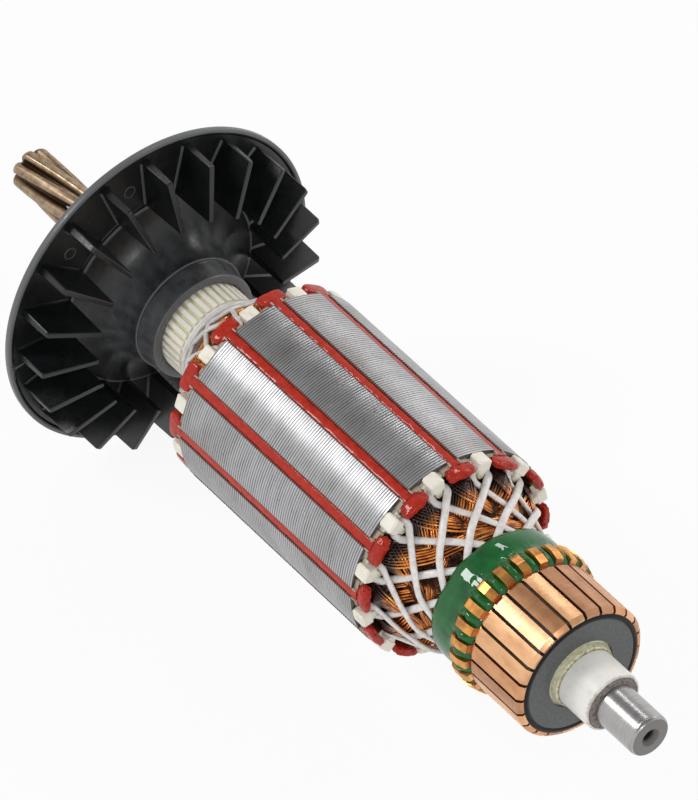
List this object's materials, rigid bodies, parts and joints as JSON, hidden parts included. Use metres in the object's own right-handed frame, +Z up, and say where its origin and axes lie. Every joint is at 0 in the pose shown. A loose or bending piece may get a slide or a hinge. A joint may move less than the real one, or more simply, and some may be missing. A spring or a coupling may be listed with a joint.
{
  "type": "motor armature",
  "caption": "Wound armature of a commutator motor: laminated core with red slot wedges, laced winding, copper commutator, cooling fan and a helical pinion cut in the shaft.",
  "frame": {"origin": "middle of the bearing seat at the commutator end, on the shaft axis", "axes": "+X along the shaft, out of the commutator end; +Z up; the drive end and its pinion point to -X"},
  "size_m": [0.1782, 0.064, 0.064],
  "materials": {
    "shaft_steel": "ground seats, bronze-tinted hardened pinion teeth",
    "sleeve_plastic": "moulded ivory, slightly dirty",
    "lamination_steel": "turned laminated steel with fine rings across it",
    "insulator_plastic": "moulded ivory, soft bevels",
    "liner_paper": "dark brown varnished paper",
    "red_wedge": "glossy red resin over a fibre strip",
    "enamelled_wire": "enamelled copper wire under clear varnish",
    "waxed_cord": "varnished white cord",
    "green_varnish": "thick glossy green varnish",
    "hub_moulding": "dark grey satin face, glossy black rim",
    "adhesive": "yellowish set adhesive",
    "bar_copper": "turned copper",
    "fan_plastic": "black moulded plastic with a satin sheen"
  },
  "bodies": {
    "root": {"shaft": "shaft_steel", "shaft_sleeve": "sleeve_plastic", "lamination_stack": "lamination_steel", "front_end_insulator": "insulator_plastic", "rear_end_insulator": "insulator_plastic", "slot_liners": "liner_paper", "slot_wedge_01": "red_wedge", "slot_wedge_02": "red_wedge", "slot_wedge_03": "red_wedge", "slot_wedge_04": "red_wedge", "slot_wedge_05": "red_wedge", "slot_wedge_06": "red_wedge", "slot_wedge_07": "red_wedge", "slot_wedge_08": "red_wedge", "slot_wedge_09": "red_wedge", "slot_wedge_10": "red_wedge", "slot_wedge_11": "red_wedge", "slot_wedge_12": "red_wedge", "winding": "enamelled_wire", "front_lacing_cord": "waxed_cord", "rear_lacing_cord": "waxed_cord", "varnish_ring": "green_varnish", "commutator_hub": "hub_moulding", "adhesive_ring": "adhesive", "commutator_bar_01": "bar_copper", "commutator_bar_02": "bar_copper", "commutator_bar_03": "bar_copper", "commutator_bar_04": "bar_copper", "commutator_bar_05": "bar_copper", "commutator_bar_06": "bar_copper", "commutator_bar_07": "bar_copper", "commutator_bar_08": "bar_copper", "commutator_bar_09": "bar_copper", "commutator_bar_10": "bar_copper", "commutator_bar_11": "bar_copper", "commutator_bar_12": "bar_copper", "commutator_bar_13": "bar_copper", "commutator_bar_14": "bar_copper", "commutator_bar_15": "bar_copper", "commutator_bar_16": "bar_copper", "commutator_bar_17": "bar_copper", "commutator_bar_18": "bar_copper", "commutator_bar_19": "bar_copper", "commutator_bar_20": "bar_copper", "commutator_bar_21": "bar_copper", "commutator_bar_22": "bar_copper", "commutator_bar_23": "bar_copper", "commutator_bar_24": "bar_copper", "fan": "fan_plastic"}
  },
  "joints": []
}
